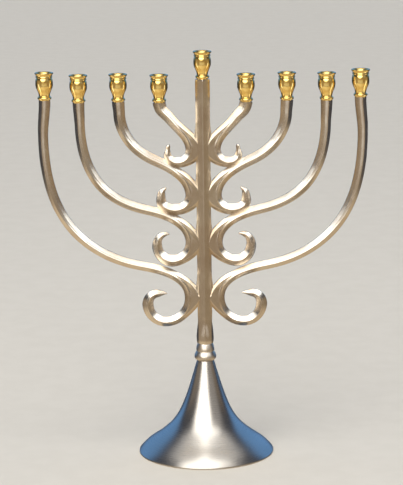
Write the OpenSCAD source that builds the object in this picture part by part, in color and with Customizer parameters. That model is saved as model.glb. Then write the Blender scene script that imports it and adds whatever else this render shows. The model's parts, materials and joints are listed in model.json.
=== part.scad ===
// Nine-branch menorah: a stem with four pairs of S-curved branches, each ending
// in a scroll below, nine turned candle cups, two collars and a spun flared base.
// Millimetres, +Z up, the centre of the base's footprint at the origin, cups in a
// row along X.

/* [Base and collars] */
// Radius of the base where it stands
base_r = 59.2; // [56:0.2:62]
// Radius of the neck of the base under the lower collar
neck_r = 7.5; // [7.2:0.1:8.5]
// Height of the base
base_h = 83; // [78:1:88]
// Thickness of the spun base
base_wall = 1.5; // [1.2:0.1:1.8]
// Radius of the lower, larger collar
lower_collar_r = 9.6; // [8.6:0.1:11]
// Height of the lower collar
lower_collar_h = 8.2; // [7:0.1:9]
// Radius of the upper collar
upper_collar_r = 7.9; // [7.6:0.1:9]
// Height of the upper collar
upper_collar_h = 7.2; // [6:0.1:8]

/* [Stem and branches] */
// Half width of the stem where the branches join it
stem_w = 6.6; // [6.4:0.1:6.8]
// Half depth of the stem, from its axis to its front ridge
stem_d = 7; // [6.4:0.1:7.6]
// Height of the top of the stem, under the middle cup
stem_top = 332; // [326:1:340]
// Half depth of a branch, as a share of its half width
depth_share = 1; // [0.85:0.05:1.1]

/* [Candle cups] */
// Bore of a cup, for a candle of 9.5 mm
cup_bore_d = 10.5; // [10:0.1:10.8]
// Depth of the candle's bore
cup_bore_depth = 12; // [11:0.5:12.5]
// Height of a cup
cup_h = 24; // [23.5:0.1:25]
// Diameter over a cup's lip
lip_d = 16; // [15.6:0.1:16.6]
// Diameter of a cup's belly
belly_d = 14.6; // [14.2:0.1:15.2]
// Diameter of a cup's waist
waist_d = 9.6; // [9.4:0.1:10.4]
// Diameter of the bead at a cup's foot
foot_d = 12.2; // [11.6:0.1:12.6]

/* [Fastenings] */
// Diameter of the threaded studs that hold the cups
stud_d = 4; // [3.6:0.1:4.2]
// Depth of each stud in its branch, and again in its cup
stud_reach = 5; // [4:0.1:5.4]
// Diameter of the tie rod that holds the base
rod_d = 6; // [5.6:0.1:6.2]

/* [Hidden] */
SIDES = ["left", "right"];
PAIRS = [1, 2, 3, 4];

$fn = 64;
// Radial clearance of a thread, and of a rod through its hole
play = 0.05;
rod_play = 0.2;

nickel = "#c9c2b6";
dark_nickel = "#a89f92";
steel = "#8d8f92";
brass = "#d9a63a";

// The centrelines of the right-hand branches, lowest pair first, from the cup down
// past the stem and round the scroll. Each row is [x, z, heading, half width], with
// the heading in degrees from +X, turning up.
branch_knots = [
    [[136, 315, -90, 5.1], [138, 285, -90, 4.4], [115.5, 203, -128, 4.3],
     [56, 168.6, -169, 4.3], [13.2, 139, -90, 4.2], [34.2, 118, 0, 4.4],
     [49.8, 134, 90, 4.9], [41, 143.4, 180, 3.6], [32.6, 143.3, 195, 0.6]],
    [[106.8, 312.5, -90, 5.2], [106.2, 294, -91, 4.4], [91, 242, -127, 4.5],
     [50, 218.2, -167, 4.5], [12, 188, -90, 4.2], [27.5, 172.6, 0, 5.4],
     [41, 186.5, 90, 4.4], [35, 196, 165, 2.6], [30.1, 196.1, 200, 0.6]],
    [[72.6, 313, -90, 5.5], [72, 303, -91, 5.1], [62.4, 277, -128, 4.8],
     [42, 261.6, -155, 4.8], [11.6, 230, -90, 4.2], [24.5, 218, 0, 5.2],
     [37, 226.5, 90, 4.3], [36, 233.6, 115, 3.1], [32.2, 237.2, 152, 0.6]],
    [[37.4, 312, -90, 5.6], [36.4, 307.6, -106, 5.5], [29.4, 299.2, -130, 5.1],
     [18.4, 286.6, -131, 4.7], [11, 270.5, -90, 4.2], [22.3, 259.6, 0, 4.7],
     [30.8, 267, 90, 3.2], [29.8, 275.3, 100, 0.5]]
];
// The knot of each branch that lies beside the stem
root_knot = 4;
// Sections in each stretch between two knots
steps = 9;

// The web between a branch and the stem: how far it reaches along the branch above
// and below the root, and how wide it would be at the root
web_above = 30;
web_below = 20;
web_width_above = 6.75;
web_width_below = 10;
web_thickness = 1.5;
edge_flat = 0.35;

stem_flat = 1.6;
foot_z = base_h + lower_collar_h + upper_collar_h;
foot_r = 7.7;
foot_top_r = 4.8;
foot_h = 26;
rod_bottom = base_h - 16;
rod_top = foot_z + 13;
washer_r = 5.6;
washer_h = 1.2;
nut_h = 5;
nut_across_corners = 10;
plate_h = 2.5;
function cup_seat(pair) = branch_knots[pair - 1][0];

// ---- curves ------------------------------------------------------------------
function along(heading) = [cos(heading), sin(heading)];
function turn(a, b) = (b - a + 540) % 360 - 180;
function place(knot) = [knot[0], knot[1]];
// Length of the handles that make a stretch between two knots close to an arc
function handle(a, b) =
    norm(place(b) - place(a)) / (3 * pow(cos(turn(a[2], b[2]) / 4), 2));
function cubic(p, t) =
    pow(1 - t, 3) * p[0] + 3 * pow(1 - t, 2) * t * p[1]
    + 3 * (1 - t) * t * t * p[2] + pow(t, 3) * p[3];
function cubic_slope(p, t) =
    3 * pow(1 - t, 2) * (p[1] - p[0]) + 6 * (1 - t) * t * (p[2] - p[1])
    + 3 * t * t * (p[3] - p[2]);
function controls(a, b) = [
    place(a),
    place(a) + handle(a, b) * along(a[2]),
    place(b) - handle(a, b) * along(b[2]),
    place(b)
];
function heading_of(v) = atan2(v[1], v[0]);
// Stations along a branch: [x, z, heading, half width, knot number]
function stations(knots) = [
    for (i = [0:len(knots) - 2])
        let (p = controls(knots[i], knots[i + 1]))
        for (j = [0:steps - (i == len(knots) - 2 ? 0 : 1)])
            let (t = j / steps, at = cubic(p, t), v = cubic_slope(p, t))
            [at[0], at[1], heading_of(v),
             knots[i][3] + (knots[i + 1][3] - knots[i][3]) * t, i + t]
];
function gap(s, i) = norm([s[i][0] - s[i - 1][0], s[i][1] - s[i - 1][1]]);
function lengths(s, i = 1, sum = 0, out = [0]) =
    i == len(s) ? out
    : lengths(s, i + 1, sum + gap(s, i), concat(out, [sum + gap(s, i)]));

// Share of the web at a distance from the root, positive towards the scroll
function web_share(d) =
    let (reach = d < 0 ? web_above : web_below)
    abs(d) > reach ? 0 : pow(1 - abs(d) / reach, 2);
function web_width(d) = web_share(d) * (d < 0 ? web_width_above : web_width_below);
// One section of a branch: six corners, with the stem's side cut flat
function section(s, d) =
    let (
        n = [-sin(s[2]), cos(s[2])],
        w = s[3],
        depth = w * depth_share,
        edge = min(edge_flat, w / 3),
        outer = [s[0], s[1]] + w * n,
        web = [s[0], s[1]] - (w + web_width(d)) * n,
        inner = [max(web[0], stem_w), web[1]],
        thick = edge + (web_thickness - edge) * web_share(d)
    )
    [
        [outer[0], -edge, outer[1]],
        [s[0], -depth, s[1]],
        [inner[0], -thick, inner[1]],
        [inner[0], thick, inner[1]],
        [s[0], depth, s[1]],
        [outer[0], edge, outer[1]]
    ];

// A closed skin over rings of points
module skin(rings) {
    n = len(rings[0]);
    last = len(rings) - 1;
    polyhedron(
        points = [for (ring = rings) for (p = ring) p],
        faces = concat(
            [[for (k = [0:n - 1]) k]],
            [for (i = [0:last - 1]) for (k = [0:n - 1])
                let (m = (k + 1) % n, a = i * n, b = a + n)
                each [[a + k, b + k, b + m], [a + k, b + m, a + m]]],
            [[for (k = [n - 1:-1:0]) last * n + k]]
        )
    );
}

module branch_bar(pair) {
    s = stations(branch_knots[pair - 1]);
    l = lengths(s);
    root = l[root_knot * steps];
    skin([for (i = [0:len(s) - 1]) section(s[i], l[i] - root)]);
}

// A right-hand branch, with its scroll notched over the branch below it and a
// tapped hole for its stud
module branch(pair) {
    seat = cup_seat(pair);
    difference() {
        branch_bar(pair);
        if (pair > 1) branch_bar(pair - 1);
        translate([seat[0], 0, seat[1] - stud_reach - 0.4])
            cylinder(r = stud_d / 2 + play, h = stud_reach + 1);
    }
}

module arm(side, pair) {
    color(nickel)
        if (side == "left") mirror([1, 0, 0]) branch(pair);
        else branch(pair);
}

// ---- stem --------------------------------------------------------------------
// A section of the stem, slimmer by a little than where the branches join it
function stem_section(z, less) =
    let (w = stem_w - less, d = stem_d - less)
    [
        [w, -stem_flat, z], [0, -d, z], [-w, -stem_flat, z],
        [-w, stem_flat, z], [0, d, z], [w, stem_flat, z]
    ];

module stem() {
    color(nickel)
        difference() {
            union() {
                skin([
                    stem_section(stem_top, 0.5),
                    stem_section(318, 0.7),
                    stem_section(304, 0.9),
                    stem_section(292, 0.4),
                    stem_section(284, 0),
                    stem_section(foot_z + foot_h / 2, 0)
                ]);
                rotate_extrude() polygon(foot_outline());
            }
            translate([0, 0, foot_z - 1])
                cylinder(r = rod_d / 2 + play, h = rod_top - foot_z + 1.5);
            translate([0, 0, stem_top - stud_reach - 0.4])
                cylinder(r = stud_d / 2 + play, h = stud_reach + 1);
        }
}

// The turned foot of the stem, swelling above the collar and fading into the bar
function foot_outline() =
    let (p = [[stem_w, 0], [foot_r + 1.2, foot_h * 0.3], [foot_r + 0.4, foot_h * 0.55],
              [foot_top_r, foot_h]])
    concat([[0, foot_z]], [for (i = [0:10]) cubic(p, i / 10) + [0, foot_z]],
           [[0, foot_z + foot_h]]);

// ---- base --------------------------------------------------------------------
// Outline of the flare from the neck to the rim, moved inwards by the wall
function flare(inset) =
    let (
        rim = 1.6,
        p = [[neck_r, base_h], [neck_r + 17.5, base_h * 0.24],
             [base_r * 0.473, base_h * 0.355], [base_r, rim]]
    )
    [for (i = [0:24])
        let (at = cubic(p, i / 24), v = cubic_slope(p, i / 24))
        at + inset * along(heading_of(v) - 90)];

module base_shell() {
    outside = flare(0);
    inside = [for (p = flare(base_wall)) if (p[1] < base_h - plate_h && p[1] > 0) p];
    color(dark_nickel)
        rotate_extrude($fn = 128)
            polygon(concat(
                [[rod_d / 2 + rod_play, base_h]], outside, [[base_r, 0]],
                [[base_r - base_wall * 1.5, 0]],
                [for (i = [len(inside) - 1:-1:0]) inside[i]],
                [[inside[0][0], base_h - plate_h], [rod_d / 2 + rod_play, base_h - plate_h]]
            ));
}

module base_washer() {
    color(steel)
        translate([0, 0, base_h - plate_h - washer_h])
            difference() {
                cylinder(r = washer_r, h = washer_h);
                translate([0, 0, -1]) cylinder(r = rod_d / 2 + rod_play, h = washer_h + 2);
            }
}

module base_nut() {
    color(steel)
        translate([0, 0, base_h - plate_h - washer_h - nut_h])
            difference() {
                cylinder(d = nut_across_corners, h = nut_h, $fn = 6);
                translate([0, 0, -1]) cylinder(r = rod_d / 2 + play, h = nut_h + 2);
            }
}

module tie_rod() {
    chamfer = 0.6;
    color(steel)
        translate([0, 0, rod_bottom]) stud_shape(rod_d / 2, rod_top - rod_bottom, chamfer);
}

// A rod with both ends chamfered
module stud_shape(r, h, chamfer) {
    rotate_extrude()
        polygon([[0, 0], [r - chamfer, 0], [r, chamfer], [r, h - chamfer],
                 [r - chamfer, h], [0, h]]);
}

// A turned bead: a half round between two narrow fillets, bored for the rod
module bead_ring(r, neck, h) {
    rotate_extrude($fn = 96)
        polygon(concat(
            [[rod_d / 2 + rod_play, 0], [neck, 0]],
            [for (i = [0:16])
                let (a = -90 + i * 180 / 16)
                [neck + (r - neck) * pow(cos(a), 0.7), h / 2 + (h / 2 - 0.3) * sin(a)]],
            [[neck, h], [rod_d / 2 + rod_play, h]]
        ));
}

module lower_collar() {
    color(nickel)
        translate([0, 0, base_h]) bead_ring(lower_collar_r, neck_r, lower_collar_h);
}

module upper_collar() {
    color(nickel)
        translate([0, 0, base_h + lower_collar_h])
            bead_ring(upper_collar_r, stem_w, upper_collar_h);
}

// ---- cups --------------------------------------------------------------------
// Radii and heights up the outside of a cup
function cup_outside() =
    let (
        foot = foot_d / 2,
        waist = waist_d / 2,
        belly = belly_d / 2,
        lip = lip_d / 2,
        bead_h = 3.2,
        waist_z = 4.4,
        belly_z = cup_h - 7.4,
        neck_z = cup_h - 2.7
    )
    concat(
        [for (i = [0:8])
            let (a = -70 + i * 150 / 8)
            [foot - bead_h / 2 * (1 - cos(a)), bead_h / 2 * (1 + sin(a) / sin(80))]],
        [for (i = [0:12])
            cubic([[waist, waist_z], [waist + 0.5, waist_z + 5], [belly, belly_z - 5.2],
                   [belly, belly_z]], i / 12)],
        [for (i = [1:5])
            cubic([[belly, belly_z], [belly, belly_z + 2], [belly - 0.7, neck_z - 1],
                   [belly - 0.8, neck_z]], i / 5)],
        [[lip - 0.4, cup_h - 1.5], [lip, cup_h - 1.1], [lip, cup_h - 0.3],
         [lip - 0.3, cup_h]]
    );

module candle_cup() {
    bore_r = cup_bore_d / 2;
    floor_z = cup_h - cup_bore_depth;
    mouth_r = lip_d / 2 - 1.6;
    mouth_h = 1.4;
    color(brass)
        difference() {
            rotate_extrude($fn = 96)
                polygon(concat([[0, 0]], cup_outside(), [[0, cup_h]]));
            translate([0, 0, floor_z]) cylinder(r = bore_r, h = cup_bore_depth + 1);
            translate([0, 0, cup_h - mouth_h])
                cylinder(r1 = bore_r, r2 = mouth_r, h = mouth_h);
            translate([0, 0, -1]) cylinder(r = stud_d / 2 + play, h = stud_reach + 1.4);
        }
}

// Where the cup of a branch stands, at [x, z]
function seat_at(side, pair) =
    let (seat = cup_seat(pair))
    [side == "left" ? -seat[0] : seat[0], 0, seat[1]];

module cup(side, pair) {
    translate(seat_at(side, pair)) candle_cup();
}

module cup_middle() {
    translate([0, 0, stem_top]) candle_cup();
}

// A stud, half in its branch and half in its cup
module cup_stud() {
    chamfer = 0.4;
    color(steel)
        translate([0, 0, -stud_reach]) stud_shape(stud_d / 2, 2 * stud_reach, chamfer);
}

module stud(side, pair) {
    translate(seat_at(side, pair)) cup_stud();
}

module stud_middle() {
    translate([0, 0, stem_top]) cup_stud();
}

base_shell();
base_washer();
base_nut();
tie_rod();
lower_collar();
upper_collar();
stem();
cup_middle();
stud_middle();
for (side = SIDES) for (pair = PAIRS) {
    arm(side, pair);
    cup(side, pair);
    stud(side, pair);
}
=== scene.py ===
import json
import math

import bmesh
import bpy
import numpy as np
from mathutils import Matrix, Vector, noise

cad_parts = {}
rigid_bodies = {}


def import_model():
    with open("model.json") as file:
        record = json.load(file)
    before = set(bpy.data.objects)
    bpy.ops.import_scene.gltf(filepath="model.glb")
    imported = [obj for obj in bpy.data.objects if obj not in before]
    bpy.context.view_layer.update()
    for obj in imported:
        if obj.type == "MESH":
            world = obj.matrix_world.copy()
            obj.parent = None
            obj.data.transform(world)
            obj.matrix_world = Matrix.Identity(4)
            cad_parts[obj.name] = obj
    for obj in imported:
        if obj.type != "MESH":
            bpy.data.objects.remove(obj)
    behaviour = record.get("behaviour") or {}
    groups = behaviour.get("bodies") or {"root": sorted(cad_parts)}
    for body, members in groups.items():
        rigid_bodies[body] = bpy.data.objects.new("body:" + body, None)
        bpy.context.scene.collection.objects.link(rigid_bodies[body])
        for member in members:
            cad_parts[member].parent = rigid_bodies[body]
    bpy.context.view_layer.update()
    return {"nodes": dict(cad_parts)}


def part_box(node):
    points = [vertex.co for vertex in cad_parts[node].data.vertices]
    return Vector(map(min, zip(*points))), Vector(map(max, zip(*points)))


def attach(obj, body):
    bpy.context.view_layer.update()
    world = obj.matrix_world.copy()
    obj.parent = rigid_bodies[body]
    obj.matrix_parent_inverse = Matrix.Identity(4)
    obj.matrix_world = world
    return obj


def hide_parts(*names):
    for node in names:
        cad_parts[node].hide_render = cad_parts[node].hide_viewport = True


# Looks for the nine-branch menorah: a cast satin nickel stem and branches, a spun
# base, two turned collars, nine brass cups on threaded studs, and the rod, washer
# and nut inside the base. Each piece stands for one CAD node and takes its size and
# place from that node. Metres, +Z up, the front towards -Y.

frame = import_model()

MM = 0.001
SIDES = ("left", "right")
PAIRS = (1, 2, 3, 4)
SEATS = ["middle"] + [f"{side}_{pair}" for side in SIDES for pair in PAIRS]
BODY = "candelabrum"
SEED = 7


# ---- camera ------------------------------------------------------------------
CAMERA_AT = (-0.0023, -1.9459, 0.5949)
CAMERA_DOWN = 11.8
CAMERA_ROLL = 0.65
CAMERA_LENS = 169.24


def make_camera():
    """The photograph's view: a long lens, from the front and a little above."""
    data = bpy.data.cameras.new("camera")
    data.lens = CAMERA_LENS
    data.sensor_width = 36
    data.clip_end = 60
    camera = bpy.data.objects.new("camera", data)
    pitch = Matrix.Rotation(math.radians(90 - CAMERA_DOWN), 4, "X")
    roll = Matrix.Rotation(math.radians(-CAMERA_ROLL), 4, "Z")
    camera.matrix_world = Matrix.Translation(CAMERA_AT) @ pitch @ roll
    bpy.context.scene.collection.objects.link(camera)
    bpy.context.scene.camera = camera


make_camera()
bpy.context.scene.view_settings.view_transform = "Standard"


# ---- curves ------------------------------------------------------------------
def cubic(a, b, c, d, count):
    """Points along a Bezier curve, both ends included."""
    t = np.linspace(0, 1, count)[:, None]
    a, b, c, d = (np.array(p, float) for p in (a, b, c, d))
    return (1 - t) ** 3 * a + 3 * (1 - t) ** 2 * t * b + 3 * (1 - t) * t * t * c + t ** 3 * d


def arc(centre, radius, start, end, count):
    """Points along an arc in (radius, height), angles in degrees."""
    t = np.radians(np.linspace(start, end, count))
    return np.stack([centre[0] + radius * np.cos(t), centre[1] + radius * np.sin(t)], 1)


def lengths(points):
    """Distance along a row of points, from the first."""
    steps = np.linalg.norm(np.diff(points, axis=0), axis=1)
    return np.concatenate([[0], np.cumsum(steps)])


def smooth(points, spacing):
    """The same row of points on a smooth curve through them, evenly spaced."""
    s = lengths(points[:, :2])
    slope = np.gradient(points, s, axis=0)
    at = np.linspace(0, s[-1], int(s[-1] / spacing) + 2)
    i = np.clip(np.searchsorted(s, at, side="right") - 1, 0, len(s) - 2)
    h = (s[i + 1] - s[i])[:, None]
    t = ((at - s[i]) / h[:, 0])[:, None]
    near = (1 + 2 * t) * (1 - t) ** 2 * points[i] + t * (1 - t) ** 2 * h * slope[i]
    far = t * t * (3 - 2 * t) * points[i + 1] + t * t * (t - 1) * h * slope[i + 1]
    return near + far


def ease(x, low, high):
    """0 below low, 1 above high, and smooth between."""
    t = np.clip((np.asarray(x, float) - low) / (high - low), 0, 1)
    return t * t * (3 - 2 * t)


def wander(x, lane):
    """A slow, repeatable irregularity between about -1 and 1 along a length."""
    return noise.noise(Vector((x, lane * 7.31, SEED)))


# ---- meshes ------------------------------------------------------------------
def grid_faces(rows, columns, closed):
    """Quads over rows of points that each close on themselves."""
    faces = []
    for i in range(rows if closed else rows - 1):
        a, b = i * columns, (i + 1) % rows * columns
        for k in range(columns):
            m = (k + 1) % columns
            faces.append((a + k, b + k, b + m, a + m))
    return faces


def grid_uvs(along, around):
    """The corners of those quads: u in metres along the rows, v around them."""
    uvs = []
    for i in range(len(along) - 1):
        for k in range(len(around) - 1):
            u0, u1, v0, v1 = along[i], along[i + 1], around[k], around[k + 1]
            uvs += [(u0, v0), (u1, v0), (u1, v1), (u0, v1)]
    return uvs


def make_mesh(name, points, faces, uvs):
    """A closed mesh with its faces outwards, smooth apart from real edges."""
    mesh = bpy.data.meshes.new(name)
    mesh.from_pydata([tuple(p) for p in points], [], faces)
    layer = mesh.uv_layers.new(name="UVMap")
    flat = np.zeros((len(layer.data), 2), np.float32)
    flat[: len(uvs)] = uvs
    layer.data.foreach_set("uv", flat.ravel())
    work = bmesh.new()
    work.from_mesh(mesh)
    bmesh.ops.recalc_face_normals(work, faces=work.faces)
    work.to_mesh(mesh)
    work.free()
    mesh.shade_smooth()
    mesh.set_sharp_from_angle(angle=math.radians(38))
    return mesh


def add_piece(name, mesh, material, node, body, at=(0, 0, 0)):
    """Puts a mesh in the scene in place of a CAD node."""
    piece = bpy.data.objects.new(name, mesh)
    piece.location = at
    mesh.materials.append(material)
    bpy.context.scene.collection.objects.link(piece)
    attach(piece, body)
    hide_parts(node)
    return piece


def bar_mesh(name, rings):
    """A bar skinned over its sections, with both ends closed."""
    rows, columns = rings.shape[:2]
    along = lengths(rings.mean(axis=1))
    widest = rings[np.argmax(np.ptp(rings, axis=1).sum(axis=1))]
    around = lengths(np.vstack([widest, widest[:1]]))
    faces = grid_faces(rows, columns, False)
    faces += [tuple(range(columns)), tuple((rows - 1) * columns + k for k in range(columns))]
    return make_mesh(name, rings.reshape(-1, 3), faces, grid_uvs(along, around))


def turned_mesh(name, outline, turns=128):
    """A closed outline of (radius, height) turned about Z. v runs along the outline."""
    angle = np.linspace(0, 2 * np.pi, turns, endpoint=False)
    rings = np.stack([
        np.cos(angle)[:, None] * outline[:, 0],
        np.sin(angle)[:, None] * outline[:, 0],
        np.ones(turns)[:, None] * outline[:, 1],
    ], 2)
    around = lengths(np.vstack([outline, outline[:1]]))
    along = np.linspace(0, 2 * np.pi * outline[:, 0].max(), turns + 1)
    faces = grid_faces(turns, len(outline), True)
    return make_mesh(name, rings.reshape(-1, 3), faces, grid_uvs(along, around))


SWELL = 0.012


def rounded_ring(corners, radii, bulges, steps=4):
    """A closed section with rounded corners, each side bulging by a share of its length."""
    points = []
    count = len(corners)
    for k in range(count):
        c, a, b = corners[k], corners[k - 1], corners[(k + 1) % count]
        to_a, to_b = a - c, b - c
        la, lb = math.hypot(*to_a), math.hypot(*to_b)
        r = min(radii[k], 0.42 * la, 0.42 * lb)
        p0, p2 = c + to_a / la * r, c + to_b / lb * r
        for j in range(steps + 1):
            t = j / steps
            points.append((1 - t) ** 2 * p0 + 2 * t * (1 - t) * c + t * t * p2)
        points.append((c + b) / 2 + np.array([to_b[1], -to_b[0]]) * bulges[k])
    return np.array(points)


# ---- the frame's own measures -------------------------------------------------
def node_points(node):
    """A CAD node's vertices, in metres."""
    mesh = frame["nodes"][node].data
    points = np.zeros(len(mesh.vertices) * 3, np.float32)
    mesh.vertices.foreach_get("co", points)
    return points.reshape(-1, 3).astype(float)


def ridge_of(node):
    """A branch's stations [|x|, z, half width], from the cup to the scroll's tip.

    The front ridge of its square bar stands as far forward as the bar is half wide."""
    points = np.unique(np.round(node_points(node), 6), axis=0)
    points[:, 0] = abs(points[:, 0])
    front = points[points[:, 1] < -0.45 * MM]
    highest = front[front[:, 2] > front[:, 2].max() - 0.2 * MM]
    here = highest[np.argmin(highest[:, 1])]
    row = [here]
    while True:
        front = front[np.any(front != here, axis=1)]
        near = front[-front[:, 1] >= -0.55 * here[1]]
        if not len(near):
            break
        gap = np.hypot(near[:, 0] - here[0], near[:, 2] - here[2])
        if gap.min() > 12 * MM:
            break
        here = near[np.argmin(gap)]
        row.append(here)
    row = np.array(row)
    return np.stack([row[:, 0], row[:, 2], -row[:, 1]], 1)


STEM_LOW, STEM_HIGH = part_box("stem")
BASE_LOW, BASE_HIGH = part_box("base_shell")
STEM_FOOT = STEM_LOW.z
STEM_TOP = STEM_HIGH.z
BRANCH_W = min(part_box(f"arm_right_{pair}")[0].x for pair in PAIRS)
STEM_D = 7 * MM


def crotches():
    """The lowest and highest point at which each pair of branches meets the stem."""
    levels = []
    for pair in PAIRS:
        points = node_points(f"arm_right_{pair}")
        z = points[points[:, 0] < BRANCH_W + 0.02 * MM][:, 2]
        levels.append((z.min(), z.max()))
    return levels


CROTCHES = crotches()


# ---- branches ----------------------------------------------------------------
WEB_ABOVE = 30 * MM
WEB_BELOW = 20 * MM
WEB_WIDTH_ABOVE = 6.75 * MM
WEB_WIDTH_BELOW = 8.5 * MM
WEB_DEPTH = 0.76
HOLLOW = (0.48, 0.74)
HOLLOW_FILLS = (-10 * MM, 0)
LEAN = 0.3
LEAN_FROM = 45 * MM
WALL_IN = 0.5
EDGE = 0.35 * MM
RIDGE = 0.45 * MM
BURIED = 4 * MM
BRANCH_UNEVEN = 0.018
TIP_ROUND = (0.6 * MM, 1.0 * MM, 1.5 * MM, 1.8 * MM)
TIP_LENGTH = 3 * MM
TIP_BLUNT = 0.06


def branch_section(w, web, hollow, lean):
    """One section of a branch, in (away from the stem's side, depth).

    A square bar on its corner, its ridge leaning outwards by a share of its half width,
    and on the stem's side a web with a bevelled edge and a hollow beside the ridge, whose
    wall is steeper where there is a web."""
    edge = min(EDGE, w / 3)
    depth = WEB_DEPTH * w
    valley = max(hollow * w, depth - 0.6 * web)
    wall = 1 - WALL_IN * float(ease(web, 0, MM))
    half = np.array([
        [w, -edge],
        [lean * w, -w],
        [wall * (valley - w), -valley],
        [depth - edge - w - web, -depth],
        [-w - web, -edge],
    ])
    corners = np.vstack([half, half[::-1] * [1, -1]])
    ridge = min(RIDGE, 0.3 * w)
    radii = [edge, ridge, 2 * ridge, ridge, edge]
    bulges = [SWELL, 0, 0, SWELL, 0, SWELL, 0, 0, SWELL, 0]
    return rounded_ring(corners, radii + radii[::-1], bulges)


def branch_rings(node, lane, tip):
    """The sections of a right-hand branch, cup end first, to a tip no thinner than given."""
    line = smooth(ridge_of(node), 1.0 * MM)
    s = lengths(line[:, :2])
    root = s[np.argmin(line[:, 0])]
    heading = np.gradient(line[:, :2], s, axis=0)
    heading /= np.linalg.norm(heading, axis=1)[:, None]
    normal = np.stack([-heading[:, 1], heading[:, 0]], 1)
    rings = []
    for i, (x, z, w) in enumerate(line):
        d = s[i] - root
        reach, width = (WEB_ABOVE, WEB_WIDTH_ABOVE) if d < 0 else (WEB_BELOW, WEB_WIDTH_BELOW)
        web = width * (1 - abs(d) / reach) ** 2 if abs(d) < reach else 0
        w *= 1 + BRANCH_UNEVEN * wander(s[i] / (14 * MM), lane)
        left = min((s[-1] - s[i]) / TIP_LENGTH + TIP_BLUNT, 1)
        w = max(w, tip * math.sqrt(2 * left - left * left))
        hollow = HOLLOW[0] + (HOLLOW[1] - HOLLOW[0]) * float(ease(d, *HOLLOW_FILLS))
        lean = LEAN * float(ease(-d, LEAN_FROM, 1.5 * LEAN_FROM) * ease(-heading[i, 1], 0.7, 0.97))
        section = branch_section(w, web, hollow, lean)
        ring = np.stack([
            x + section[:, 0] * normal[i, 0], section[:, 1], z + section[:, 0] * normal[i, 1],
        ], 1)
        ring[:, 0] = np.maximum(ring[:, 0], BRANCH_W - BURIED)
        rings.append(ring)
    return np.array(rings)


def make_branches(material):
    for side in SIDES:
        for pair in PAIRS:
            node = f"arm_{side}_{pair}"
            rings = branch_rings(node, pair + 10 * SIDES.index(side), TIP_ROUND[pair - 1])
            if side == "left":
                rings[:, :, 0] *= -1
            mesh = bar_mesh(f"branch_{side}_{pair}", rings)
            add_piece(mesh.name, mesh, material, node, BODY)


# ---- stem --------------------------------------------------------------------
STEM_SLIM = 0.25 * MM
FILLET = 1.9 * MM
FILLET_UP = 15 * MM
SIDE_FLAT = 1.6 * MM
FOOT_R = 7.5 * MM
FOOT_TOP_R = 5.8 * MM
FOOT_LIP_R = 6.9 * MM
FOOT_H = 25 * MM
FOOT_ROUND = (5 * MM, 26 * MM)
STEM_LANE = 3


def fillet_reach(z):
    """How far the stem's side reaches out into the branches above and below."""
    for low, high in CROTCHES:
        if low <= z <= high:
            return FILLET * float(ease(z, high - 5 * MM, high))
        if high < z < high + FILLET_UP:
            return FILLET * (1 - (z - high) / FILLET_UP) ** 2.2
    return 0.0


def foot_radius(z):
    """Radius of the turned foot, from the collar up to where the bar takes over."""
    t = (z - STEM_FOOT) / FOOT_H
    low = FOOT_LIP_R + (FOOT_R - FOOT_LIP_R) * float(ease(t, -0.06, 0.14))
    return low - (FOOT_R - FOOT_TOP_R) * float(ease(t, 0.2, 1))


def stem_ring(z):
    """One section of the stem: a ridged bar that turns round towards the foot."""
    w = BRANCH_W - STEM_SLIM
    d = STEM_D - 0.1 * MM * (1 + wander(z / (22 * MM), STEM_LANE))
    bar_share = float(ease(z, STEM_FOOT + FOOT_ROUND[0], STEM_FOOT + FOOT_ROUND[1]))
    if z < STEM_FOOT + FOOT_H:
        foot = foot_radius(z)
        blend = float(ease(z, STEM_FOOT + 0.6 * FOOT_H, STEM_FOOT + FOOT_H))
        w = foot + (w - foot) * blend
        d = foot + (d - foot) * bar_share
    taper = 0.4 * MM * float(ease(z, STEM_TOP - 1.5 * MM, STEM_TOP))
    w, d, flat = w - taper, d - taper, SIDE_FLAT
    reach = w + fillet_reach(z)
    thin = flat - 0.5 * MM * (reach - w) / FILLET
    corners = np.array([
        [reach, -thin], [reach, thin], [w, flat], [0, d], [-w, flat],
        [-reach, thin], [-reach, -thin], [-w, -flat], [0, -d], [w, -flat],
    ])
    if reach - w < 0.02 * MM:
        corners[[0, 1, 5, 6], 0] = [w, w, -w, -w]
        corners[[0, 1, 5, 6], 1] = [-flat * 0.55, flat * 0.55, flat * 0.55, -flat * 0.55]
    edge, ridge = 0.7 * MM, 0.55 * MM
    radii = [edge, edge, edge, ridge, edge, edge, edge, edge, ridge, edge]
    ring = rounded_ring(corners, radii, [0, 0, SWELL, SWELL, 0, 0, 0, SWELL, SWELL, 0])
    angle = np.arctan2(ring[:, 1], ring[:, 0])
    circle = np.stack([np.cos(angle), np.sin(angle)], 1) * foot_radius(min(z, STEM_FOOT + FOOT_H))
    ring = circle + (ring - circle) * bar_share
    return np.column_stack([ring, np.full(len(ring), z)])


def make_stem(material):
    levels = np.linspace(STEM_FOOT, STEM_TOP, 280)
    rings = np.array([stem_ring(z) for z in levels])
    mesh = bar_mesh("stem_bar", rings)
    add_piece(mesh.name, mesh, material, "stem", BODY)


# ---- base and collars ----------------------------------------------------------
BASE_R = BASE_HIGH.x
BASE_H = BASE_HIGH.z
BASE_WALL = 1.5 * MM
PLATE = 2.5 * MM
RIM = 1.6 * MM
RIM_ROLL = 1.0 * MM
ROLL_WIDTH = 18 * MM
ROD_HOLE = 3.2 * MM


def neck_radius():
    """The radius of the base's flat top, where the lower collar sits."""
    points = node_points("base_shell")
    return float(points[points[:, 2] > BASE_H - 0.01 * MM][:, 0].max())


NECK_R = neck_radius()


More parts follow.
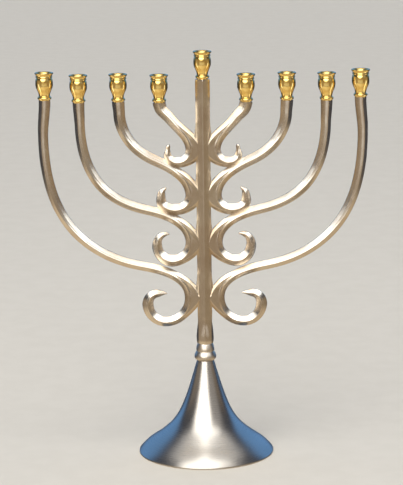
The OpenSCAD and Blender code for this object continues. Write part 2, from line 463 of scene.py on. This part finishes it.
def flare(inset, count=90):
    """The base's side from neck to rim, moved inwards by inset."""
    line = cubic(
        (NECK_R, BASE_H), (NECK_R + 17.5 * MM, BASE_H * 0.24),
        (BASE_R * 0.473, BASE_H * 0.355), (BASE_R, RIM), count,
    )
    t = np.clip((line[:, 0] - BASE_R) / ROLL_WIDTH + 1, 0, 1)
    line[:, 1] += RIM_ROLL * 6.75 * t * t * (1 - t)
    slope = np.gradient(line, axis=0)
    slope /= np.linalg.norm(slope, axis=1)[:, None]
    return line + inset * np.stack([slope[:, 1], -slope[:, 0]], 1)


def make_base(material):
    """The spun base: one wall all the way, with a rolled rim and a thicker top."""
    inside = flare(BASE_WALL)
    inside = inside[(inside[:, 1] < BASE_H - PLATE) & (inside[:, 1] > 2.0 * MM)]
    rim = arc((BASE_R - 0.9 * MM, 0.9 * MM), 0.9 * MM, 35, -90, 9)
    hem = arc((BASE_R - 2.4 * MM, 0.9 * MM), 0.9 * MM, -90, -200, 9)
    outline = np.vstack([
        [[ROD_HOLE, BASE_H - 0.3 * MM], [ROD_HOLE + 0.3 * MM, BASE_H]],
        [[NECK_R - 0.35 * MM, BASE_H], [NECK_R - 0.08 * MM, BASE_H - 0.1 * MM]],
        flare(0)[1:], rim, hem, inside[::-1],
        [[inside[0][0] - 0.6 * MM, BASE_H - PLATE], [ROD_HOLE, BASE_H - PLATE]],
    ])
    mesh = turned_mesh("spun_base", outline, 192)
    add_piece(mesh.name, mesh, material, "base_shell", BODY)


def make_collar(node, foot, top, widest_at, material):
    """A turned bead, from the radius of its foot out to the widest and in to its top."""
    low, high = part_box(node)
    h = high.z - low.z
    wide, middle = high.x, low.z + widest_at * h
    groove = 0.25 * MM
    outline = np.vstack([
        [[ROD_HOLE, low.z], [foot - groove, low.z], [foot, low.z + groove]],
        cubic((foot, low.z + groove), (foot + 0.5 * (wide - foot), low.z + 0.1 * h),
              (wide, middle - 0.25 * h), (wide, middle), 18)[1:],
        cubic((wide, middle), (wide, middle + 0.12 * h),
              (top + 0.45 * (wide - top), high.z - 0.18 * h), (top, high.z - groove), 18)[1:],
        [[top - groove, high.z], [ROD_HOLE, high.z]],
    ])
    mesh = turned_mesh(node + "_bead", outline)
    add_piece(mesh.name, mesh, material, node, BODY)


# ---- cups ----------------------------------------------------------------------
def cup_outline(r, h):
    """Half outline of a cup from its lip radius and height, tapped hole to bore."""
    foot, waist, belly, band = 0.75 * r, 0.6 * r, 0.945 * r, 0.90 * r
    bore, tapped = 5.25 * MM, 2.05 * MM
    belly_z, shoulder_z, lip_z = 0.58 * h, 0.81 * h, 0.955 * h
    lip = 0.45 * MM
    return np.vstack([
        [[tapped, 0], [foot - 1.1 * MM, 0]],
        arc((foot - 1.45 * MM, 1.85 * MM), 1.45 * MM, -75, 82, 13),
        [[waist + 0.25 * MM, 3.55 * MM], [waist, 3.9 * MM]],
        cubic((waist, 0.175 * h), (waist + 0.4 * MM, 0.33 * h), (belly, 0.42 * h),
              (belly, belly_z), 22),
        cubic((belly, belly_z), (belly, belly_z + 0.12 * h), (band + 0.1 * MM, shoulder_z - 0.05 * h),
              (band - 0.5 * MM, shoulder_z - 0.008 * h), 16)[1:],
        [[band - 0.6 * MM, shoulder_z]],
        [[band, shoulder_z + 0.012 * h], [band + 0.02 * MM, shoulder_z + 0.03 * h]],
        cubic((band, shoulder_z + 0.04 * h), (band - 0.45 * MM, shoulder_z + 0.06 * h),
              (band - 0.3 * MM, lip_z - 0.05 * h), (r - 0.55 * MM, lip_z - 0.018 * h), 10),
        arc((r - lip, lip_z + 0.1 * MM), lip, -70, 0, 5),
        arc((r - lip, h - lip), lip, 0, 100, 6),
        cubic((r - lip - 0.3 * MM, h - 0.02 * MM), (r - 1.5 * MM, h - 0.1 * MM),
              (bore + 0.3 * MM, h - 0.9 * MM), (bore, h - 1.9 * MM), 10),
        [[bore, h - 6 * MM], [bore, h / 2 + 0.3 * MM], [bore - 0.3 * MM, h / 2]],
        [[0.9 * MM, h / 2 - 0.2 * MM], [0.02 * MM, h / 2 - 0.5 * MM]],
        [[0.02 * MM, 6.6 * MM], [tapped, 6.2 * MM]],
    ])


def seat_of(name):
    """The middle of a cup's underside."""
    low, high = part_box(f"cup_{name}")
    node_mid = (low + high) / 2
    return Vector((node_mid.x, 0, low.z)), (high.x - low.x) / 2, high.z - low.z


def make_cups(material):
    for name in SEATS:
        seat, r, h = seat_of(name)
        mesh = turned_mesh(f"candle_cup_{name}", cup_outline(r, h), 96)
        add_piece(mesh.name, mesh, material, f"cup_{name}", f"cup_{name}", seat)


# ---- fastenings ------------------------------------------------------------------
def thread_rings(r, low, high, pitch, around=28, steps=7):
    """Rings of points over a threaded rod with both ends chamfered."""
    depth = 0.58 * pitch
    levels = np.linspace(low, high, int((high - low) / pitch * steps) + 1)
    angle = np.linspace(0, 2 * np.pi, around, endpoint=False)
    rings = []
    for z in levels:
        phase = (z / pitch - angle / (2 * np.pi)) % 1
        flank = np.clip(1.3 * (1 - abs(2 * phase - 1)) - 0.15, 0, 1)
        end = min(z - low, high - z)
        room = r - max(0, pitch * 0.8 - end)
        radius = np.minimum(r - depth + depth * flank, room)
        rings.append(np.stack([
            radius * np.cos(angle), radius * np.sin(angle), np.full(around, z),
        ], 1))
    return np.array(rings)


def make_threaded(name, node, body, pitch, material):
    """A threaded rod or stud in place of a plain one."""
    low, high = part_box(node)
    at = Vector(((low.x + high.x) / 2, 0, low.z))
    rings = thread_rings((high.x - low.x) / 2, 0, high.z - low.z, pitch)
    mesh = bar_mesh(name, rings)
    add_piece(name, mesh, material, node, body, at)


def make_washer(material):
    low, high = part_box("base_washer")
    r, edge = high.x, 0.25 * MM
    outline = np.vstack([
        [[ROD_HOLE + edge, low.z], [r - edge, low.z]],
        arc((r - edge, low.z + edge), edge, -70, 0, 4),
        arc((r - edge, high.z - edge), edge, 0, 90, 4),
        [[ROD_HOLE + edge, high.z], [ROD_HOLE, high.z - edge], [ROD_HOLE, low.z + edge]],
    ])
    mesh = turned_mesh("flat_washer", outline, 96)
    add_piece(mesh.name, mesh, material, "base_washer", BODY)


def make_nut(material):
    """A hexagon nut with both faces chamfered to a circle, and a countersunk hole."""
    low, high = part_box("base_nut")
    corner = high.x
    apothem = corner * math.cos(math.pi / 6)
    chamfer_r = apothem * 0.96
    hole = 3.05 * MM
    rings = []
    for angle in np.linspace(0, 2 * np.pi, 96, endpoint=False):
        reach = apothem / math.cos(angle % (math.pi / 3) - math.pi / 6)
        drop = (reach - chamfer_r) * math.tan(math.radians(30))
        profile = [
            (hole + 0.4 * MM, low.z), (chamfer_r, low.z), (reach, low.z + drop),
            (reach, high.z - drop), (chamfer_r, high.z), (hole + 0.4 * MM, high.z),
            (hole, high.z - 0.4 * MM), (hole, low.z + 0.4 * MM),
        ]
        rings.append([(r * math.cos(angle), r * math.sin(angle), z) for r, z in profile])
    rings = np.array(rings)
    faces = grid_faces(len(rings), rings.shape[1], True)
    along = np.linspace(0, 2 * np.pi * corner, len(rings) + 1)
    around = lengths(np.vstack([rings[0], rings[0][:1]]))
    mesh = make_mesh("hex_nut", rings.reshape(-1, 3), faces, grid_uvs(along, around))
    add_piece(mesh.name, mesh, material, "base_nut", BODY)


# ---- materials -------------------------------------------------------------------
class Graph:
    """Short calls for a node tree's nodes and links."""

    def __init__(self, tree):
        self.tree = tree

    def node(self, kind, **settings):
        made = self.tree.nodes.new(kind)
        for key, value in settings.items():
            setattr(made, key, value)
        return made

    def put(self, socket, value):
        """Links a socket's value in, or sets a plain one."""
        if isinstance(value, bpy.types.NodeSocket):
            self.tree.links.new(value, socket)
        else:
            socket.default_value = value

    def maths(self, operation, a, b=0.0):
        made = self.node("ShaderNodeMath", operation=operation)
        self.put(made.inputs[0], a)
        self.put(made.inputs[1], b)
        return made.outputs[0]

    def span(self, value, low, high, to_low=0.0, to_high=1.0, smooth_step=False):
        """The value's place between low and high, as a number between the other two."""
        made = self.node("ShaderNodeMapRange")
        if smooth_step:
            made.interpolation_type = "SMOOTHSTEP"
        for key, number in (("Value", value), ("From Min", low), ("From Max", high),
                            ("To Min", to_low), ("To Max", to_high)):
            self.put(made.inputs[key], number)
        return made.outputs["Result"]

    def step(self, value, low, high):
        """0 at low and 1 at high, whichever is the larger, and smooth between."""
        return self.span(value, low, high, smooth_step=True)

    def both(self, *shares):
        """The product of some shares."""
        total = shares[0]
        for share in shares[1:]:
            total = self.maths("MULTIPLY", total, share)
        return total

    def blend(self, share, a, b):
        """Colour a where share is 0 and b where it is 1."""
        made = self.node("ShaderNodeMix", data_type="RGBA")
        self.put(made.inputs["Factor"], share)
        self.put(made.inputs["A"], a)
        self.put(made.inputs["B"], b)
        return made.outputs["Result"]

    def scaled(self, vector, scale):
        made = self.node("ShaderNodeVectorMath", operation="MULTIPLY")
        self.put(made.inputs[0], vector)
        made.inputs[1].default_value = scale
        return made.outputs[0]

    def noise(self, vector, scale, detail=3.0, rough=0.55):
        made = self.node("ShaderNodeTexNoise")
        self.put(made.inputs["Vector"], vector)
        made.inputs["Scale"].default_value = scale
        made.inputs["Detail"].default_value = detail
        made.inputs["Roughness"].default_value = rough
        return made.outputs["Fac"]


def new_material(name, metallic=1.0):
    """A material, its graph, its shader, and the object and UV coordinates."""
    made = bpy.data.materials.new(name)
    made.use_nodes = True
    graph = Graph(made.node_tree)
    shader = made.node_tree.nodes["Principled BSDF"]
    shader.inputs["Metallic"].default_value = metallic
    coords = graph.node("ShaderNodeTexCoord")
    return made, graph, shader, coords.outputs["Object"], coords.outputs["UV"]


def tone(graph, shader, mottle, low, high):
    """Colour that drifts between two tones with a noise."""
    share = graph.step(mottle, 0.3, 0.7)
    graph.put(shader.inputs["Base Color"], graph.blend(share, (*low, 1), (*high, 1)))


def relief(graph, shader, layers):
    """Bump made of (height, strength, distance) layers, coarse to fine."""
    normal = None
    for height, strength, distance in layers:
        bump = graph.node("ShaderNodeBump")
        bump.inputs["Strength"].default_value = strength
        bump.inputs["Distance"].default_value = distance
        graph.put(bump.inputs["Height"], height)
        if normal is not None:
            graph.put(bump.inputs["Normal"], normal)
        normal = bump.outputs["Normal"]
    graph.put(shader.inputs["Normal"], normal)


def satin_nickel():
    """Cast nickel, hand-finished along the bars: warm, satin, a little uneven."""
    made, graph, shader, here, uv = new_material("satin_nickel")
    mottle = graph.noise(here, 38, 4)
    tone(graph, shader, mottle, (0.70, 0.60, 0.49), (0.80, 0.73, 0.62))
    grain = graph.noise(graph.scaled(uv, (90, 2600, 1)), 1, 3)
    streak = graph.noise(graph.scaled(uv, (28, 700, 1)), 1, 3)
    worn = graph.noise(here, 210, 3)
    rough = graph.maths("ADD", graph.span(grain, 0.3, 0.7, 0.17, 0.22),
                        graph.span(worn, 0.35, 0.7, 0.0, 0.05))
    graph.put(shader.inputs["Roughness"], rough)
    shader.inputs["Anisotropic"].default_value = 0.1
    shader.inputs["Anisotropic Rotation"].default_value = 0.25
    tangent = graph.node("ShaderNodeTangent", direction_type="UV_MAP", uv_map="UVMap")
    graph.put(shader.inputs["Tangent"], tangent.outputs[0])
    relief(graph, shader, [
        (graph.noise(here, 90, 2), 0.05, 0.6 * MM),
        (streak, 0.05, 0.10 * MM),
        (grain, 0.06, 0.04 * MM),
    ])
    return made


def round_lines(graph, here, uv, across, along):
    """Coordinates for lines that run round an axis: slow around it, fast along v."""
    split = graph.node("ShaderNodeSeparateXYZ")
    graph.put(split.inputs[0], here)
    outline = graph.node("ShaderNodeSeparateXYZ")
    graph.put(outline.inputs[0], uv)
    joined = graph.node("ShaderNodeCombineXYZ")
    graph.put(joined.inputs[0], graph.maths("MULTIPLY", split.outputs[0], along))
    graph.put(joined.inputs[1], graph.maths("MULTIPLY", split.outputs[1], along))
    graph.put(joined.inputs[2], graph.maths("MULTIPLY", outline.outputs[1], across))
    return joined.outputs[0]


def spun_nickel(name, low, high, rough_low, rough_high):
    """Nickel brushed round its axis on the lathe."""
    made, graph, shader, here, uv = new_material(name)
    mottle = graph.noise(here, 34, 4)
    tone(graph, shader, mottle, low, high)
    rings = graph.noise(round_lines(graph, here, uv, 6500, 60), 1, 3)
    wide = graph.noise(round_lines(graph, here, uv, 1500, 20), 1, 3)
    specks = graph.span(graph.noise(here, 900, 1), 0.70, 0.78)
    rough = graph.maths("ADD", graph.span(rings, 0.3, 0.7, rough_low, rough_high),
                        graph.maths("MULTIPLY", specks, 0.25))
    graph.put(shader.inputs["Roughness"], rough)
    shader.inputs["Anisotropic"].default_value = 0.5
    shader.inputs["Anisotropic Rotation"].default_value = 0.25
    tangent = graph.node("ShaderNodeTangent", direction_type="RADIAL", axis="Z")
    graph.put(shader.inputs["Tangent"], tangent.outputs[0])
    relief(graph, shader, [
        (wide, 0.01, 0.1 * MM),
        (rings, 0.025, 0.04 * MM),
        (specks, 0.2, 0.05 * MM),
    ])
    return made


def polished_brass():
    """Turned brass, polished and lacquered, with the faint rings of the tool."""
    made, graph, shader, here, uv = new_material("polished_brass")
    mottle = graph.noise(here, 160, 3)
    tone(graph, shader, mottle, (0.90, 0.60, 0.15), (0.98, 0.73, 0.25))
    rings = graph.noise(round_lines(graph, here, uv, 3600, 60), 1, 2)
    graph.put(shader.inputs["Roughness"], graph.span(rings, 0.3, 0.7, 0.12, 0.18))
    shader.inputs["Coat Weight"].default_value = 0.9
    shader.inputs["Coat Roughness"].default_value = 0.12
    relief(graph, shader, [
        (graph.noise(here, 260, 2), 0.05, 0.2 * MM),
        (rings, 0.12, 0.03 * MM),
    ])
    return made


def zinc_steel():
    """Bright zinc plate on the fastenings, with its faint yellow and blue cast."""
    made, graph, shader, here, _ = new_material("zinc_steel")
    tone(graph, shader, graph.noise(here, 320, 3), (0.56, 0.58, 0.62), (0.72, 0.71, 0.66))
    grain = graph.noise(here, 2200, 2)
    graph.put(shader.inputs["Roughness"], graph.span(grain, 0.3, 0.7, 0.24, 0.36))
    relief(graph, shader, [(grain, 0.15, 0.03 * MM)])
    return made


# ---- stage -----------------------------------------------------------------------
FLOOR_R = 16
WINDOW_AZIMUTH = -14.0
WINDOW_SAG = 0.012


def floor_material():
    made, graph, shader, here, _ = new_material("pale_floor", metallic=0.0)
    tone(graph, shader, graph.noise(here, 40, 4), (0.66, 0.62, 0.555), (0.68, 0.64, 0.575))
    fine = graph.noise(here, 260, 4)
    graph.put(shader.inputs["Roughness"], graph.span(fine, 0.3, 0.7, 0.8, 0.9))
    shader.inputs["Specular IOR Level"].default_value = 0.2
    relief(graph, shader, [(fine, 0.05, 0.2 * MM)])
    return made


def make_floor(turns=96):
    """A wide plain floor, left out of reflections, which see the studio's lower half."""
    angle = np.linspace(0, 2 * np.pi, turns, endpoint=False)
    circle = np.stack([np.cos(angle), np.sin(angle), np.zeros(turns)], 1) * FLOOR_R
    mesh = bpy.data.meshes.new("floor")
    mesh.from_pydata([tuple(p) for p in circle], [], [tuple(range(turns))])
    mesh.materials.append(floor_material())
    floor = bpy.data.objects.new("floor", mesh)
    floor.visible_glossy = False
    bpy.context.scene.collection.objects.link(floor)


def studio_colour(graph):
    """Soft studio light by direction: white in front and overhead, dark at the sides,
    cool behind, and the warm floor below. The window in front has a lower edge that
    curves up at both ends."""
    step, both = graph.step, graph.both
    coords = graph.node("ShaderNodeTexCoord")
    split = graph.node("ShaderNodeSeparateXYZ")
    graph.put(split.inputs[0], coords.outputs["Generated"])
    x, y, z = split.outputs
    turn = graph.maths("DEGREES", graph.maths("ARCTAN2", x, graph.maths("MULTIPLY", y, -1.0)))
    rise = graph.maths("DEGREES", graph.maths("ARCSINE", z))
    aside = graph.maths("ABSOLUTE", turn)

    low_side = graph.blend(step(x, -0.5, 0.5), (0.74, 0.62, 0.45, 1), (0.62, 0.51, 0.36, 1))
    low_edge = graph.blend(step(x, -0.5, 0.5), (0.36, 0.29, 0.215, 1), (0.32, 0.25, 0.17, 1))
    colour = graph.blend(step(rise, -36, -14), low_side, low_edge)
    behind = both(step(aside, 88, 108), step(rise, -34, -16))
    dark = graph.maths("MAXIMUM", step(rise, 3, 22), behind)
    colour = graph.blend(dark, colour, (0.06, 0.065, 0.08, 1))
    grey = both(step(turn, 14, 34), step(turn, 84, 60), step(rise, 2, 18))
    colour = graph.blend(grey, colour, (0.36, 0.35, 0.345, 1))
    cool = both(step(aside, 110, 128), step(rise, 48, 32), step(rise, -6, 5))
    colour = graph.blend(cool, colour, (0.15, 0.33, 0.64, 1))
    high = both(step(rise, 46, 66), step(y, -0.14, 0.0))
    colour = graph.blend(high, colour, (0.74, 0.735, 0.73, 1))
    off = graph.maths("SUBTRACT", turn, WINDOW_AZIMUTH)
    sag = graph.maths("MULTIPLY", graph.maths("MULTIPLY", off, off), WINDOW_SAG)
    lift = graph.maths("SUBTRACT", rise, sag)
    window = both(step(turn, -64, -40), step(turn, 33, 12), step(lift, 0, 17))
    colour = graph.blend(window, colour, (3.2, 3.16, 3.04, 1))
    dome = both(step(rise, 48, 62), step(y, -0.10, -0.22))
    return graph.blend(dome, colour, (2.2, 2.17, 2.08, 1))


def make_studio():
    """The studio as the world's light. The camera itself sees a plain pale wall."""
    world = bpy.data.worlds.new("studio")
    bpy.context.scene.world = world
    world.use_nodes = True
    graph = Graph(world.node_tree)
    world.node_tree.nodes.clear()
    colour = studio_colour(graph)
    path = graph.node("ShaderNodeLightPath")
    seen = graph.blend(path.outputs["Is Camera Ray"], colour, (0.66, 0.64, 0.605, 1))
    light = graph.node("ShaderNodeBackground")
    graph.put(light.inputs["Color"], seen)
    out = graph.node("ShaderNodeOutputWorld")
    graph.put(out.inputs["Surface"], light.outputs[0])


def make_lamp(name, at, aim, size, energy, colour):
    """A rectangular lamp, unseen by the camera."""
    data = bpy.data.lights.new(name, "AREA")
    data.shape = "RECTANGLE"
    data.size, data.size_y = size
    data.energy = energy
    data.color = colour
    lamp = bpy.data.objects.new(name, data)
    lamp.location = at
    lamp.rotation_euler = (Vector(aim) - Vector(at)).to_track_quat("-Z", "Y").to_euler()
    lamp.visible_camera = False
    bpy.context.scene.collection.objects.link(lamp)
    return lamp


def make_softbox():
    """The large soft lamp overhead, which lights the object but isn't reflected in it."""
    lamp = make_lamp("overhead", (0, -0.25, 1.5), (0, 0, 0.17), (1.4, 1.1), 6, (1.0, 0.985, 0.95))
    lamp.visible_glossy = False


PANEL_LIGHT = 1.65
CARD_LIGHT = 0.5
STEM_LIGHT = 0.3
BEAD_LIGHT = 1.3
STRIP_LIGHT = 1.5
FRONT_LIGHT = 0.35
LOW_LIGHT = 0.16


def make_panel(name, at, aim, size, level, lit):
    """A white panel that only shows in the reflections of some pieces."""
    energy = level * math.pi * size[0] * size[1]
    lamp = make_lamp(name, at, aim, size, energy, (0.88, 0.94, 1.0))
    lamp.visible_diffuse = False
    lamp.light_linking.receiver_collection = lit


def group(name, *starts):
    """A collection of the pieces whose names start in one of these ways."""
    made = bpy.data.collections.new(name)
    for piece in bpy.context.scene.objects:
        if piece.name.startswith(starts):
            made.objects.link(piece)
    return made


def make_panels():
    """Panels for the cups in front and below, and on each side panels above and beside
    the branches, low cards for the branches' and the stem's ridges, a panel for the
    collars and a strip for the cups."""
    bars = group("bars", "branch_", "stem_")
    branches = group("branches", "branch_")
    stem = group("stem", "stem_")
    beads = group("beads", "upper_collar_", "lower_collar_")
    cups = group("cups", "candle_cup_")
    make_panel("cup_front_card", (-0.03, -0.9, 0.16), (0, 0, 0.33), (1.2, 0.3), FRONT_LIGHT, cups)
    make_panel("cup_low_card", (-0.02, -0.42, 0.03), (-0.02, -0.42, 1), (0.9, 0.4), LOW_LIGHT, cups)
    for side, x in (("left", -1), ("right", 1)):
        at, aim, size = (0.34 * x, -0.19, 0.46), (0.34 * x, -0.19, 0), (0.36, 0.28)
        make_panel(f"{side}_top_panel", at, aim, size, PANEL_LIGHT, branches)
        at, aim, size = (0.70 * x, -0.35, 1.05), (0, 0, 0.2), (1.0, 0.40)
        make_panel(f"{side}_side_panel", at, aim, size, PANEL_LIGHT, bars)
        at, aim, size = (0.62 * x, -0.62, 0.1), (0, 0, 0.15), (0.45, 0.18)
        make_panel(f"{side}_card", at, aim, size, CARD_LIGHT, branches)
        make_panel(f"{side}_stem_card", at, aim, size, STEM_LIGHT, stem)
        at, aim, size = (0.46 * x, -0.38, 0.63), (0, 0, 0.1), (0.55, 0.35)
        make_panel(f"{side}_bead_panel", at, aim, size, BEAD_LIGHT, beads)
        at, aim, size = (0.4 * x, -0.08, 0.16), (0, 0, 0.16), (0.07, 0.28)
        make_panel(f"{side}_cup_strip", at, aim, size, STRIP_LIGHT, cups)


# ---- scene -----------------------------------------------------------------------
satin = satin_nickel()
turned = spun_nickel("turned_nickel", (0.68, 0.60, 0.50), (0.78, 0.71, 0.62), 0.34, 0.40)
spun = spun_nickel("spun_nickel", (0.62, 0.58, 0.53), (0.68, 0.645, 0.60), 0.26, 0.31)
brass = polished_brass()
steel = zinc_steel()

make_branches(satin)
make_stem(satin)
make_base(spun)
make_collar("lower_collar", 7.7 * MM, 7.8 * MM, 0.46, turned)
make_collar("upper_collar", 7.6 * MM, 6.5 * MM, 0.28, turned)
make_cups(brass)
for seat_name in SEATS:
    make_threaded(f"cup_thread_{seat_name}", f"stud_{seat_name}", f"stud_{seat_name}", 0.7 * MM, steel)
make_threaded("base_rod", "tie_rod", BODY, 1.0 * MM, steel)
make_washer(steel)
make_nut(steel)

make_floor()
make_studio()
make_softbox()
make_panels()
